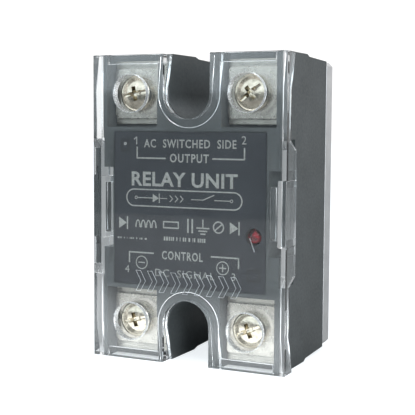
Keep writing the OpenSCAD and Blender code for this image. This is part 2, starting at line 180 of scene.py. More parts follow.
# %% [markdown]
# ## A way to finish pieces
# A moulded or stamped edge is never knife sharp, and a thin bright line runs along it. The
# solid model has sharp edges, so a piece starts as a merged copy of its solid, the flat
# triangles are joined into whole faces, and every sharp edge gets a small bevel. A face
# can't have a hole in it, so the copy is first cut along planes through its holes.

# %% Mesh helpers
SHARP = math.radians(30)
FLAT = math.radians(0.5)
SMOOTH_BELOW = math.radians(40)
TOUCH = 0.0005 * MM


def flat_regions(bm, on_cut):
    """Lists of faces that lie in one plane and aren't parted by a cut.

    The faces are taken in the mesh's own order, so every run makes the same lists.
    """
    found = set()
    for start in bm.faces:
        if start in found:
            continue
        found.add(start)
        region = [start]
        for face in region:
            for edge in face.edges:
                if edge.is_manifold and edge.calc_face_angle() < FLAT and not on_cut(edge):
                    for other in edge.link_faces:
                        if other not in found:
                            found.add(other)
                            region.append(other)
        yield region


def merged_copy(name, cut_x=(), cut_z=()):
    """A solid's mesh with doubles merged and each flat region made one face."""
    bm = bmesh.new()
    bm.from_mesh(nodes[name].data)
    bmesh.ops.remove_doubles(bm, verts=bm.verts, dist=TOUCH)
    cuts = [(0, x) for x in cut_x] + [(2, z) for z in cut_z]
    for axis, at in cuts:
        across = Vector([float(axis == k) for k in range(3)])
        bmesh.ops.bisect_plane(bm, geom=[*bm.verts, *bm.edges, *bm.faces], dist=TOUCH,
                               plane_co=across * at, plane_no=across)

    def on_cut(edge):
        return any(all(abs(v.co[axis] - at) < TOUCH for v in edge.verts) for axis, at in cuts)

    for region in [r for r in flat_regions(bm, on_cut) if len(r) > 1]:
        bmesh.ops.dissolve_faces(bm, faces=region, use_verts=True)
    return bm


def round_edges(bm, radius, segments=2, keep=lambda edge: True):
    """Bevels the edges where two faces meet sharply."""
    edges = [e for e in bm.edges if e.is_manifold and e.calc_face_angle() > SHARP and keep(e)]
    bmesh.ops.bevel(bm, geom=edges, offset=radius, offset_type="OFFSET", segments=segments,
                    affect="EDGES", profile=0.5, material=-1, clamp_overlap=True)
    return bm


def piece(name, bm, finish, body, stands_for=()):
    """Makes an object of a bmesh, smooth where it is round, and rides it on a body."""
    mesh = bpy.data.meshes.new(name)
    bm.to_mesh(mesh)
    bm.free()
    for each in finish if isinstance(finish, (list, tuple)) else [finish]:
        mesh.materials.append(each.material)
    mesh.shade_smooth()
    mesh.set_sharp_from_angle(angle=SMOOTH_BELOW)
    obj = bpy.data.objects.new(name, mesh)
    bpy.context.scene.collection.objects.link(obj)
    weighted = obj.modifiers.new("even_shading", "WEIGHTED_NORMAL")
    weighted.keep_sharp = True
    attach(obj, body)
    if stands_for:
        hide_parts(*stands_for)
    print(name, len(mesh.polygons), "faces")
    return obj


def finish_node(name, finish):
    """Gives a solid of the model its finish."""
    data = nodes[name].data
    data.materials.clear()
    data.materials.append(finish.material)

# %% [markdown]
# ## The black case
# The case is injection moulded from black flame-proof plastic. Its surface copies a
# spark-eroded mould: a fine, even grain of about a tenth of a millimetre, which turns the
# gloss into a soft grey sheen, most of all where the side is seen at a low angle.

# %% Black moulding
black_moulding = Finish("black_moulding", (0.058, 0.066, 0.068), 0.5)
flow = black_moulding.noise(6 * MM, 3)
black_moulding.tint(flow, 0.35, 0.7, (0.052, 0.060, 0.062), (0.066, 0.075, 0.078))
black_moulding.rough(black_moulding.noise(0.5 * MM, 3), 0.3, 0.7, 0.40, 0.56)
shrink = black_moulding.bump(black_moulding.noise(5 * MM, 1), 0.02 * MM, 0.5)
black_moulding.bump(black_moulding.noise(0.12 * MM, 2), 0.012 * MM, 0.6, under=shrink)

CASE_EDGE = 0.16 * MM
SIDE_DEPTH = 0.7 * MM
END_DEPTH = 1 * MM
FRONT_DEPTH = 2.3 * MM
LABEL_POCKET = Vector((16.3, 0, 14.9)) * MM
case_low, case_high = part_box("case_housing")
SCREWS = (1, 2, 3, 4)
screw_boxes = {n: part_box(f"terminal_screw_{n}") for n in SCREWS}
screw_middles = {n: (low + high) / 2 for n, (low, high) in screw_boxes.items()}
SCREW_X = screw_middles[2].x


def outer_edge(edge):
    """True on the case's outside, and false in its inner rooms and round the label."""
    a, b = (v.co for v in edge.verts)
    on_side = min(abs(a.x), abs(b.x)) > case_high.x - SIDE_DEPTH
    on_end = min(abs(a.z), abs(b.z)) > case_high.z - END_DEPTH
    on_front = max(a.y, b.y) < case_low.y + FRONT_DEPTH
    by_label = (max(abs(a.x), abs(b.x)) < LABEL_POCKET.x
                and max(abs(a.z), abs(b.z)) < LABEL_POCKET.z)
    return on_side or on_end or (on_front and not by_label)


led_low, led_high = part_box("led_indicator")
LED_X = (led_low.x + led_high.x) / 2
case = merged_copy("case_housing", (-SCREW_X, 0, SCREW_X, LED_X), (0,))
round_edges(case, CASE_EDGE, 2, outer_edge)
piece("case_shell", case, black_moulding, "relay_base", ["case_housing"])

# %% [markdown]
# ## The aluminium base plate
# The plate carries the heat away. It is sawn or punched from rolled sheet, so fine lines
# run along it, and its edges are a little brighter than its faces.

# %% Aluminium
aluminium = Finish("aluminium_plate", (0.80, 0.81, 0.82), 0.35, Metallic=1.0)
rolled = aluminium.noise(0.12 * MM, 3, along=aluminium.stretched((1, 1, 0.02)))
aluminium.tint(aluminium.noise(3 * MM, 4), 0.3, 0.7, (0.74, 0.75, 0.765), (0.86, 0.87, 0.88))
aluminium.rough(rolled, 0.3, 0.7, 0.28, 0.46)
aluminium.bump(rolled, 0.01 * MM, 0.6)
PLATE_EDGE = 0.15 * MM
plate = round_edges(merged_copy("base_plate", (0,)), PLATE_EDGE)
piece("heat_plate", plate, aluminium, "relay_base", ["base_plate"])

seal = Finish("seal", (0.03, 0.03, 0.032), 0.6)
seal.rough(seal.noise(1 * MM), 0.3, 0.7, 0.5, 0.7)
seal.bump(seal.noise(0.6 * MM), 0.03 * MM, 0.6)
finish_node("base_seal", seal)

# %% [markdown]
# ## The clear cover
# The cover is polished polycarbonate. Light bends at both faces of every wall, so the
# edges show the bright room and the dark case side by side. Glass shaders stop the shadow
# rays that light what is behind, so those rays alone pass straight through. The two finger
# grips have a fine eroded texture that scatters light and makes them look frosted. The
# walls of the four driver holes are given a milky, whiter finish. The slanted ends of the
# latch tabs get the same milky finish as a painted highlight, so that they read as white
# highlights.

# %% Polycarbonate
POLYCARBONATE_IOR = 1.58
clear_plastic = Finish("clear_cover", (0.97, 0.985, 0.99), 0.008, Transmission_Weight=1.0,
                       IOR=POLYCARBONATE_IOR)
clear_plastic.rough(clear_plastic.noise(4 * MM, 2), 0.4, 0.7, 0.02, 0.045)
clear_plastic.bump(clear_plastic.noise(7 * MM, 1), 0.02 * MM, 0.25)
clear_plastic.clear_shadow()

frosted_plastic = Finish("frosted_cover", (0.85, 0.86, 0.88), 0.32, Transmission_Weight=0.5,
                         IOR=POLYCARBONATE_IOR)
frosted_plastic.rough(frosted_plastic.noise(0.3 * MM, 2), 0.3, 0.7, 0.22, 0.42)
frosted_plastic.bump(frosted_plastic.noise(0.15 * MM, 2), 0.02 * MM, 0.7)
frosted_plastic.clear_shadow()

# A milky, whiter half-clear finish for the driver-hole walls; on the slanted tab ends it is a
# painted highlight.
edge_plastic = Finish("cover_cut_edge", (0.90, 0.91, 0.92), 0.25, Transmission_Weight=0.7,
                      IOR=POLYCARBONATE_IOR)
edge_plastic.rough(edge_plastic.noise(0.3 * MM, 2), 0.3, 0.7, 0.18, 0.36)
edge_plastic.clear_shadow()

# %% The cover
COVER_EDGE = 0.22 * MM
HOLE_EDGE = 0.1 * MM
GRIP_X = 18 * MM
GRIP_HALF_L = 6.05 * MM
GRIP_FACE_DEPTH = 0.3 * MM
SLANT_Z = 12.3 * MM
SLANT_HALF_L = 0.9 * MM
HOLE_MARGIN = 0.3 * MM
CLEAR, FROSTED, MILKY = range(3)
COVER_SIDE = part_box("safety_cover")[1].x


def off_screw_axis(at):
    """Distance from the nearest screw's axis."""
    return min(math.hypot(at.x - middle.x, at.z - middle.z) for middle in screw_middles.values())


cover = merged_copy("safety_cover", (-SCREW_X, SCREW_X), (0,))
DRIVER_HOLE_R = min(off_screw_axis(v.co) for v in cover.verts)
IN_HOLE = DRIVER_HOLE_R + HOLE_MARGIN
print("driver hole radius, mm:", round(DRIVER_HOLE_R / MM, 2))


def hole_edge(edge):
    return max(off_screw_axis(v.co) for v in edge.verts) < IN_HOLE


round_edges(cover, COVER_EDGE, 3, lambda edge: not hole_edge(edge))
round_edges(cover, HOLE_EDGE, 2, hole_edge)
# The slanted tab ends take the milky finish as a painted highlight.
for face in cover.faces:
    at = face.calc_center_median()
    on_grip = abs(at.z) < GRIP_HALF_L and abs(at.x) > COVER_SIDE - GRIP_FACE_DEPTH
    on_slant = abs(at.x) > GRIP_X and abs(abs(at.z) - SLANT_Z) < SLANT_HALF_L
    if on_grip and abs(face.normal.x) > 0.9:
        face.material_index = FROSTED
    elif on_slant and min(abs(face.normal.y), abs(face.normal.z)) > 0.3:
        face.material_index = MILKY
    elif max(off_screw_axis(v.co) for v in face.verts) < IN_HOLE:
        face.material_index = MILKY
frosted_count = sum(face.material_index == FROSTED for face in cover.faces)
print("frosted faces on the grips:", frosted_count)
piece("clear_shell", cover, [clear_plastic, frosted_plastic, edge_plastic], "cover",
      ["safety_cover"])

# %% [markdown]
# ## Metal of the terminals
# The clamp plates and the screws are steel with a nickel plate, slightly warm in colour.
# The plating is bright but not a mirror: stamping and tumbling leave it softly uneven. The
# screws are a little brighter and warmer than the plates. The terminals are plated brass.

# %% Plated metals
plated_steel = Finish("plated_steel", (0.44, 0.415, 0.37), 0.25, Metallic=1.0)
cloudy = plated_steel.noise(2.5 * MM, 2)
plated_steel.tint(cloudy, 0.3, 0.7, (0.38, 0.358, 0.318), (0.50, 0.473, 0.422))
plated_steel.rough(plated_steel.noise(1.2 * MM, 3), 0.3, 0.7, 0.16, 0.34)
tumbled = plated_steel.bump(cloudy, 0.03 * MM, 0.5)
plated_steel.bump(plated_steel.noise(0.25 * MM, 2), 0.002 * MM, 0.5, under=tumbled)

screw_steel = Finish("screw_steel", (0.60, 0.555, 0.46), 0.16, Metallic=1.0)
worn = screw_steel.noise(1.1 * MM, 3)
screw_steel.tint(worn, 0.3, 0.7, (0.46, 0.42, 0.34), (0.74, 0.69, 0.58))
screw_steel.rough(screw_steel.noise(0.7 * MM, 3), 0.3, 0.7, 0.08, 0.24)
screw_steel.bump(worn, 0.045 * MM, 0.6)

plated_brass = Finish("plated_brass", (0.41, 0.39, 0.35), 0.3, Metallic=1.0)
stamped = plated_brass.noise(0.2 * MM, 3, along=plated_brass.stretched((0.05, 1, 1)))
plated_brass.tint(plated_brass.noise(3 * MM, 3), 0.3, 0.7, (0.35, 0.333, 0.298),
                  (0.46, 0.44, 0.395))
plated_brass.rough(stamped, 0.3, 0.7, 0.22, 0.4)
plated_brass.bump(stamped, 0.003 * MM, 0.5)

TERMINAL_EDGE = 0.12 * MM
CLAMP_EDGE = 0.14 * MM
TERMINALS = ("load_terminal_1", "load_terminal_2", "input_terminal_3", "input_terminal_4")
for n, terminal in zip(SCREWS, TERMINALS):
    screw_x = screw_middles[n].x
    top = round_edges(merged_copy(terminal, (screw_x,)), TERMINAL_EDGE)
    piece("plate_of_" + terminal, top, plated_brass, "relay_base", [terminal])
    clamp = round_edges(merged_copy(f"clamp_plate_{n}", (screw_x,)), CLAMP_EDGE)
    piece(f"clamp_{n}_washer", clamp, plated_steel, f"clamp_{n}",
          [f"clamp_plate_{n}"])

# %% [markdown]
# ## The screws
# Each terminal has a pan head screw with a combined recess, a cross with one long slot, so
# that either driver fits. The head is turned from one profile. The recess is cut by two
# tapered bars, and the thread is a row of V-shaped rings, as fine as the eye can tell.

# %% Screw profile
HEAD_DOME = 0.75 * MM
THREAD_PITCH = 0.7 * MM
THREAD_DEPTH = 0.38 * MM
SHANK_R = 1.93 * MM
HEAD_FOOT = 0.12 * MM
TIP_L = 0.4 * MM
TURN_STEPS = 64
CROSS = {"length": 3.9 * MM, "width": 1.1 * MM, "depth": 1.35 * MM, "taper": 0.45}
SLOT = {"length": 5.0 * MM, "width": 0.7 * MM, "depth": 0.5 * MM, "taper": 0.96}


def screw_profile(head_r, head_t, shank_l):
    """Half outline from the middle of the head's top to the tip, as (radius, height)."""
    rim = head_t - HEAD_DOME
    dome = [(head_r * math.sin(a), rim + HEAD_DOME * math.cos(a))
            for a in (math.radians(d) for d in range(0, 91, 10))]
    outline = [*dome, (head_r, HEAD_FOOT), (head_r - HEAD_FOOT, 0), (SHANK_R, 0)]
    for k in range(int(shank_l / THREAD_PITCH) - 1):
        z = -(k + 0.5) * THREAD_PITCH
        outline += [(SHANK_R - THREAD_DEPTH, z), (SHANK_R, z - THREAD_PITCH / 2)]
    return [*outline, (SHANK_R - THREAD_DEPTH, TIP_L - shank_l), (0, -shank_l)]


def turned(profile):
    """A solid of revolution about z from a half outline."""
    bm = bmesh.new()
    line = [bm.verts.new((r, 0, z)) for r, z in profile]
    edges = [bm.edges.new(pair) for pair in zip(line, line[1:])]
    bmesh.ops.spin(bm, geom=line + edges, cent=(0, 0, 0), axis=(0, 0, 1), angle=2 * math.pi,
                   steps=TURN_STEPS, use_merge=True)
    bmesh.ops.remove_doubles(bm, verts=bm.verts, dist=TOUCH)
    bmesh.ops.recalc_face_normals(bm, faces=bm.faces)
    return bm


def tapered_bar(bm, top, length, width, depth, taper):
    """A bar that narrows downwards, with its upper face at height top."""
    made = bmesh.ops.create_cube(bm, size=1)["verts"]
    bmesh.ops.scale(bm, vec=(length, width, 2 * depth), verts=made)
    bmesh.ops.translate(bm, vec=(0, 0, top), verts=made)
    low = [v for v in made if v.co.z < top]
    bmesh.ops.scale(bm, vec=(taper, 0.55, 1), verts=low, space=Matrix.Translation((0, 0, -top)))
    return made


def recess_cutter(top, turn):
    """The cross and the slot as one cutter, turned about the screw's axis.

    One bar of the cross is a thousandth deeper, so that no two faces lie in one plane.
    """
    bm = bmesh.new()
    tapered_bar(bm, top, **CROSS)
    deeper = {**CROSS, "depth": CROSS["depth"] + 0.001 * MM}
    across = tapered_bar(bm, top, **deeper)
    quarter_turn = Matrix.Rotation(math.pi / 2, 3, "Z")
    bmesh.ops.rotate(bm, cent=(0, 0, 0), matrix=quarter_turn, verts=across)
    tapered_bar(bm, top, **SLOT)
    bmesh.ops.rotate(bm, cent=(0, 0, 0), matrix=Matrix.Rotation(turn, 3, "Z"), verts=bm.verts)
    return bm

# %% Four screws
FRONT_UP = Matrix.Rotation(math.pi / 2, 4, "X")
RECESS_TURNS = {1: 12, 2: 38, 3: 22, 4: 16}


def temporary(name, bm):
    mesh = bpy.data.meshes.new(name)
    bm.to_mesh(mesh)
    bm.free()
    obj = bpy.data.objects.new(name, mesh)
    bpy.context.scene.collection.objects.link(obj)
    return obj


def cut(bm, cutter_bm):
    """bm with the cutter taken away."""
    blank = temporary("blank", bm)
    cutter = temporary("cutter", cutter_bm)
    boolean = blank.modifiers.new("cut", "BOOLEAN")
    boolean.operation = "DIFFERENCE"
    boolean.solver = "EXACT"
    boolean.use_self = True
    boolean.object = cutter
    bpy.context.view_layer.update()
    shaped = bpy.data.meshes.new_from_object(
        blank.evaluated_get(bpy.context.evaluated_depsgraph_get()))
    result = bmesh.new()
    result.from_mesh(shaped)
    for obj in (blank, cutter):
        bpy.data.objects.remove(obj)
    return result


for n in SCREWS:
    low, high = screw_boxes[n]
    middle = screw_middles[n]
    washer_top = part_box(f"clamp_plate_{n}")[0].y
    head_t = washer_top - low.y
    shank_l = high.y - washer_top
    head = turned(screw_profile((high.x - low.x) / 2, head_t, shank_l))
    head = cut(head, recess_cutter(head_t, math.radians(RECESS_TURNS[n])))
    bmesh.ops.transform(head, matrix=Matrix.Translation((middle.x, washer_top, middle.z))
                        @ FRONT_UP, verts=head.verts)
    round_edges(head, 0.05 * MM, 2, lambda e: e.calc_length() > 0.25 * MM
                and min(v.co.y for v in e.verts) < washer_top - 0.5 * MM)
    piece(f"pan_head_screw_{n}", head, screw_steel, f"screw_{n}",
          [f"terminal_screw_{n}"])

# %% [markdown]
# ## The label
# The label is a dark satin film with light grey print. Print is thin ink, so each mark is
# a separate sliver of mesh a hundredth of a millimetre thick that lies on the film. The
# words are plain, the numbers name the terminals, and the symbols are common circuit signs.

# %% Film and ink
label_film = Finish("label_film", (0.028, 0.032, 0.038), 0.45, Specular_IOR_Level=0.28)
label_film.tint(label_film.noise(5 * MM, 3), 0.3, 0.7, (0.024, 0.027, 0.033),
                (0.034, 0.038, 0.045))
label_film.rough(label_film.noise(0.6 * MM, 3), 0.3, 0.7, 0.38, 0.54)
label_film.bump(label_film.noise(0.15 * MM, 2), 0.006 * MM, 0.5)
finish_node("front_label", label_film)

ink = Finish("label_print", (0.3, 0.31, 0.29), 0.5)
ink.tint(ink.noise(0.5 * MM, 3), 0.3, 0.65, (0.24, 0.25, 0.23), (0.35, 0.36, 0.34))
ink.rough(ink.noise(0.3 * MM, 2), 0.3, 0.7, 0.4, 0.6)

INK_T = 0.012 * MM
LABEL_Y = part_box("front_label")[0].y


class Marks:
    """Flat marks drawn with x to the right and y up, then stood on the label's front."""

    def __init__(self, thickness, front_y):
        self.bm = bmesh.new()
        self.thickness = thickness
        self.front_y = front_y

    def thicken(self, faces):
        made = bmesh.ops.extrude_face_region(self.bm, geom=faces)["geom"]
        lifted = [g for g in made if isinstance(g, bmesh.types.BMVert)]
        bmesh.ops.translate(self.bm, vec=(0, 0, self.thickness), verts=lifted)

    def shape(self, points):
        """A filled outline."""
        face = self.bm.faces.new([self.bm.verts.new((x * MM, y * MM, 0)) for x, y in points])
        face.normal_update()
        if face.normal.z < 0:
            face.normal_flip()
        return face

    def fill(self, points):
        self.thicken([self.shape(points)])

    def bar(self, x0, y0, x1, y1, width=0.3):
        """A straight stroke."""
        along = Vector((x1 - x0, y1 - y0)).normalized() * width / 2
        across = Vector((-along.y, along.x))
        ends = [Vector((x0, y0)) - along, Vector((x1, y1)) + along]
        self.fill([ends[0] + across, ends[0] - across, ends[1] - across, ends[1] + across])

    def outline(self, points, width):
        """A closed line along the inside of an outline."""
        face = self.shape(points)
        rim = bmesh.ops.inset_region(self.bm, faces=[face], thickness=width * MM,
                                     use_even_offset=True, use_boundary=True)["faces"]
        bmesh.ops.delete(self.bm, geom=[face], context="FACES")
        self.thicken(rim)

    def ring(self, x, y, radius, width=0.22, flat=1.0):
        steps = 40
        self.outline([(x + radius * math.cos(2 * math.pi * k / steps),
                       y + radius * flat * math.sin(2 * math.pi * k / steps))
                      for k in range(steps)], width)

    def capsule(self, x, y, half_w, half_h, width=0.25):
        """A line round a shape with straight sides and half-round ends."""
        steps = 16
        ends = []
        for side in (1, -1):
            for k in range(steps + 1):
                a = -math.pi / 2 * side + math.pi * k / steps
                ends.append((x + side * (half_w - half_h) + half_h * math.cos(a),
                             y + half_h * math.sin(a)))
        self.outline(ends, width)

    def text(self, words, x, y, height, spread=1.0, bold=0.0, width=None):
        """Words centred at x, y with capitals of that height, in millimetres."""
        curve = bpy.data.curves.new("words", "FONT")
        curve.body = words
        curve.align_x = "CENTER"
        curve.align_y = "CENTER"
        curve.size = 1
        curve.space_character = spread
        curve.resolution_u = 3
        curve.offset = bold
        words_obj = bpy.data.objects.new("words", curve)
        bpy.context.scene.collection.objects.link(words_obj)
        bpy.context.view_layer.update()
        flat = bpy.data.meshes.new_from_object(
            words_obj.evaluated_get(bpy.context.evaluated_depsgraph_get()))
        bpy.data.objects.remove(words_obj)
        letters = bmesh.new()
        letters.from_mesh(flat)
        lows = [min(v.co[i] for v in letters.verts) for i in (0, 1)]
        highs = [max(v.co[i] for v in letters.verts) for i in (0, 1)]
        tall = height * MM / (highs[1] - lows[1])
        wide = width * MM / (highs[0] - lows[0]) if width else tall
        centre = Vector(((lows[0] + highs[0]) / 2, (lows[1] + highs[1]) / 2, 0))
        bmesh.ops.translate(letters, vec=-centre, verts=letters.verts)
        bmesh.ops.scale(letters, vec=(wide, tall, 1), verts=letters.verts)
        bmesh.ops.translate(letters, vec=(x * MM, y * MM, 0), verts=letters.verts)
        bmesh.ops.remove_doubles(letters, verts=letters.verts, dist=0.001 * MM)
        letters.to_mesh(flat)
        letters.free()
        before = set(self.bm.faces)
        self.bm.from_mesh(flat)
        self.thicken([f for f in self.bm.faces if f not in before])

    def stood_up(self):
        """The finished marks, turned to face the front."""
        bmesh.ops.transform(self.bm, matrix=Matrix.Translation((0, self.front_y, 0)) @ FRONT_UP,
                            verts=self.bm.verts)
        bmesh.ops.recalc_face_normals(self.bm, faces=self.bm.faces)
        return self.bm

# %% Terminal numbers, brackets and words
print_marks = Marks(INK_T, LABEL_Y)
print_marks.text("1", -11.1, 12.9, 1.5)
print_marks.bar(-11.6, 13.2, -11.2, 13.5, 0.2)  # the flag of the 1
print_marks.text("2", 11.2, 13.2, 1.5)
print_marks.text("3", 9.3, -11.9, 1.4)
print_marks.text("4", -13.2, -11.8, 1.4)
BRACKETS = (
    [(-11.0, 11.6), (-11.0, 9.6), (-5.0, 9.6)],
    [(5.0, 9.7), (11.3, 9.7), (11.3, 11.7)],
    [(-12.7, -10.4), (-12.7, -8.5), (-7.5, -8.5)],
    [(4.8, -8.4), (10.3, -8.4), (10.3, -10.2)],
)
for points in BRACKETS:
    for (x0, y0), (x1, y1) in zip(points, points[1:]):
        print_marks.bar(x0, y0, x1, y1, 0.28)
print_marks.text("OUTPUT", 0.1, 9.7, 1.65, 1.2, 0.022, width=8.1)
print_marks.text("CONTROL", -1.3, -8.7, 1.65, 1.2, 0.022, width=8.6)
print_marks.text("RELAY UNIT", -1.1, 5.65, 2.75, 1.05, 0.025, width=22.2)
print_marks.text("AC  SWITCHED  SIDE", 0.1, 12.4, 1.6, 1.15, 0.016, width=19.2)
print_marks.text("DC  SIGNAL", -0.8, -12.1, 1.4, 1.1, width=12.5)

# %% Circuit signs
SIGN_Y = 2.05
print_marks.capsule(-1.2, SIGN_Y, 12.2, 1.7, 0.24)
for x in (-11.2, 8.8):
    print_marks.ring(x, SIGN_Y, 0.32, 0.14)
print_marks.bar(-10.8, SIGN_Y, -7.6, SIGN_Y, 0.16)
print_marks.fill([(-7.6, SIGN_Y + 0.8), (-7.6, SIGN_Y - 0.8), (-6.3, SIGN_Y)])
print_marks.bar(-6.2, SIGN_Y - 0.8, -6.2, SIGN_Y + 0.8, 0.2)
print_marks.bar(-6.1, SIGN_Y, -4.6, SIGN_Y, 0.16)
for k in range(3):
    x = -3.9 + 1.1 * k
    print_marks.bar(x, SIGN_Y - 0.55, x + 0.55, SIGN_Y, 0.18)
    print_marks.bar(x, SIGN_Y + 0.55, x + 0.55, SIGN_Y, 0.18)
print_marks.bar(0.6, SIGN_Y, 3.0, SIGN_Y, 0.16)
print_marks.bar(3.0, SIGN_Y, 5.2, SIGN_Y + 0.95, 0.2)
print_marks.bar(5.4, SIGN_Y, 8.4, SIGN_Y, 0.16)

ROW_Y = -2.9


def diode(x):
    print_marks.fill([(x - 0.9, ROW_Y + 1.1), (x - 0.9, ROW_Y - 1.1), (x + 0.8, ROW_Y)])
    print_marks.bar(x + 0.95, ROW_Y - 1.1, x + 0.95, ROW_Y + 1.1, 0.28)


def coil(x):
    """Four humps in a row, as a winding is drawn. Their feet touch but don't overlap."""
    steps = 12
    hump_r = 0.58
    line_w = 0.26
    foot_y = ROW_Y - 0.75
    turns = [math.pi * step / steps for step in range(steps + 1)]
    for k in range(4):
        middle = x + hump_r * (2 * k + 1)
        arch = [(middle + (hump_r - inset) * math.cos(a), foot_y + (1.5 - inset) * math.sin(a))
                for inset, sweep in ((0, turns), (line_w, turns[::-1])) for a in sweep]
        print_marks.fill(arch)


def resistor(x):
    print_marks.outline([(x, ROW_Y - 0.7), (x + 3.4, ROW_Y - 0.7), (x + 3.4, ROW_Y + 0.7),
                         (x, ROW_Y + 0.7)], 0.26)


def capacitor(x):
    for dx in (0, 0.9):
        print_marks.bar(x + dx, ROW_Y - 1.15, x + dx, ROW_Y + 1.15, 0.34)


def earth(x):
    for k, half in enumerate((1.2, 0.8, 0.4)):
        print_marks.bar(x - half, ROW_Y - 0.3 - 0.55 * k, x + half, ROW_Y - 0.3 - 0.55 * k, 0.26)
    print_marks.bar(x, ROW_Y + 1.2, x, ROW_Y - 0.3, 0.26)


diode(-14.1)
coil(-11.4)
resistor(-5.4)
capacitor(-0.1)
earth(3.0)
print_marks.ring(6.2, ROW_Y, 1.15, 0.26)
print_marks.bar(5.6, ROW_Y - 0.5, 6.8, ROW_Y + 0.5, 0.26)
diode(9.4)

# %% Fine print, too small to read
fine_print = random.Random(7)


def fine_row(x, y, end, tall):
    """A row of short strokes of different lengths, as small print looks from afar."""
    while x < end:
        long = fine_print.uniform(0.1, 0.45)
        print_marks.fill([(x, y), (x, y + tall), (x + long, y + tall), (x + long, y)])
        x += long + fine_print.choice((0.16, 0.16, 0.5))


fine_row(-15.3, -6.0, -9.2, 0.35)
fine_row(-5.2, -5.9, 4.0, 0.75)

# %% Polarity signs and corner boxes
for x in (-10.0, 7.1):
    print_marks.ring(x, -10.4, 1.3, 0.2)
    print_marks.bar(x - 0.6, -10.4, x + 0.6, -10.4, 0.24)
print_marks.bar(7.1, -11.0, 7.1, -9.8, 0.24)
print_marks.ring(-13.6, 12.3, 0.3, 0.22)
piece("label_marks", print_marks.stood_up(), ink, "relay_base")

dark_ink = Finish("label_dark_print", (0.006, 0.007, 0.009), 0.4)
dark_ink.rough(dark_ink.noise(0.4 * MM), 0.3, 0.7, 0.32, 0.5)
dark_marks = Marks(INK_T / 2, LABEL_Y)
dark_marks.outline([(-14.7, 10.7), (-12.6, 10.7), (-12.6, 13.3), (-14.7, 13.3)], 0.62)
dark_marks.outline([(11.9, -12.6), (14.6, -12.6), (14.6, -10.2), (11.9, -10.2)], 0.42)
piece("label_dark_boxes", dark_marks.stood_up(), dark_ink, "relay_base")

# %% [markdown]
# ## Raised marks on the inside of the cover
# Such covers often carry a moulded pattern on the inner face. Here it is a row of plain
# chevrons: thin raised lines whose eroded faces catch the light. A short etched line
# beside the indicator is a painted glint, a white streak running down and to the right
# of the lens.

# %% Chevrons
INNER_FACE = 26.8 * MM
RAISED = 0.035 * MM
chevrons = Marks(RAISED, RAISED - INNER_FACE)
CHEVRONS = 9
FIRST_X = -11.2
PITCH = 2.5
for k in range(CHEVRONS):
    x = FIRST_X + PITCH * k
    chevrons.outline([(x, -11.9), (x + 1.1, -11.9), (x + 2.2, -13.9), (x + 1.1, -15.9),
                      (x, -15.9), (x + 1.1, -13.9)], 0.09)
# A painted glint: a short etched line that stands in for a streak of light below the indicator.
chevrons.bar(12.6, -4.6, 13.5, -6.9, 0.2)

etched_plastic = Finish("etched_cover", (0.9, 0.93, 0.95), 0.35, Transmission_Weight=0.95,
                        IOR=POLYCARBONATE_IOR)
etched_plastic.rough(etched_plastic.noise(0.2 * MM), 0.3, 0.7, 0.25, 0.45)
etched_plastic.clear_shadow()
piece("cover_chevrons", chevrons.stood_up(), etched_plastic, "cover")

# %% [markdown]
# ## The indicator
# The lens is red tinted epoxy with a round tip. It is dark while the relay is off, so the
# colour comes from light that enters the lens and leaves it again.

# %% Red lens
red_lens = Finish("red_lens", (0.16, 0.002, 0.007), 0.12, Specular_IOR_Level=0.3)
red_lens.tint(red_lens.noise(1.2 * MM), 0.42, 0.58, (0.012, 0.0005, 0.001), (0.24, 0.006, 0.014))
red_lens.rough(red_lens.noise(0.4 * MM), 0.3, 0.7, 0.08, 0.18)
finish_node("led_indicator", red_lens)

# %% [markdown]
# ## What is inside
# The parts inside are hardly seen, but they are there when the cover and the case come
# off: a board with its components, and the power stage under clear gel.

# %% Inner finishes
def simple_finish(name, color, roughness, grain, depth, **sockets):
    """A finish whose colour, gloss and relief all follow one grain."""
    made = Finish(name, color, roughness, **sockets)
    pattern = made.noise(grain, 3)
    made.tint(pattern, 0.3, 0.7, [0.85 * c for c in color], [min(1, 1.12 * c) for c in color])
    made.rough(made.noise(grain / 2, 2), 0.3, 0.7, 0.8 * roughness, min(1, 1.2 * roughness))
    made.bump(pattern, depth, 0.5)
    return made


# Each entry holds the colour, the roughness, then the grain's size and depth in millimetres.
INNER_LOOKS = {
    "tinned_wire": ((0.72, 0.73, 0.75), 0.3, 0.3, 0.01, {"Metallic": 1.0}),
    "board_laminate": ((0.03, 0.16, 0.07), 0.35, 0.6, 0.01, {"Coat_Weight": 0.4}),
    "white_moulding": ((0.78, 0.78, 0.74), 0.5, 0.4, 0.01, {}),
    "blue_moulding": ((0.04, 0.10, 0.34), 0.4, 0.5, 0.01, {}),
    "grey_coating": ((0.25, 0.29, 0.30), 0.55, 0.3, 0.02, {}),
    "tan_coating": ((0.52, 0.38, 0.20), 0.45, 0.3, 0.02, {}),
    "black_component": ((0.02, 0.02, 0.022), 0.45, 0.2, 0.01, {}),
    "white_ceramic": ((0.82, 0.82, 0.77), 0.6, 0.1, 0.01, {}),
    "bare_copper": ((0.78, 0.40, 0.25), 0.35, 0.5, 0.01, {"Metallic": 1.0}),
    "silicon": ((0.12, 0.13, 0.17), 0.15, 1.0, 0.002, {"Coat_Weight": 0.6}),
}
INNER = {slot: simple_finish(slot, color, roughness, grain * MM, depth * MM, **sockets)
         for slot, (color, roughness, grain, depth, sockets) in INNER_LOOKS.items()}
INNER["plated_steel"] = plated_steel
gel = Finish("clear_gel", (0.93, 0.95, 0.95), 0.08, Transmission_Weight=1.0, IOR=1.41)
gel.rough(gel.noise(2 * MM), 0.3, 0.7, 0.04, 0.12)
gel.bump(gel.noise(3 * MM, 1), 0.05 * MM, 0.4)
gel.clear_shadow()
INNER["clear_gel"] = gel

finished = set()
for part in frame["record"]["subparts"]:
    if part["material_slot"] in INNER and not nodes[part["node"]].hide_render:
        finish_node(part["node"], INNER[part["material_slot"]])
        finished.add(part["node"])
print("inner pieces finished:", len(finished))

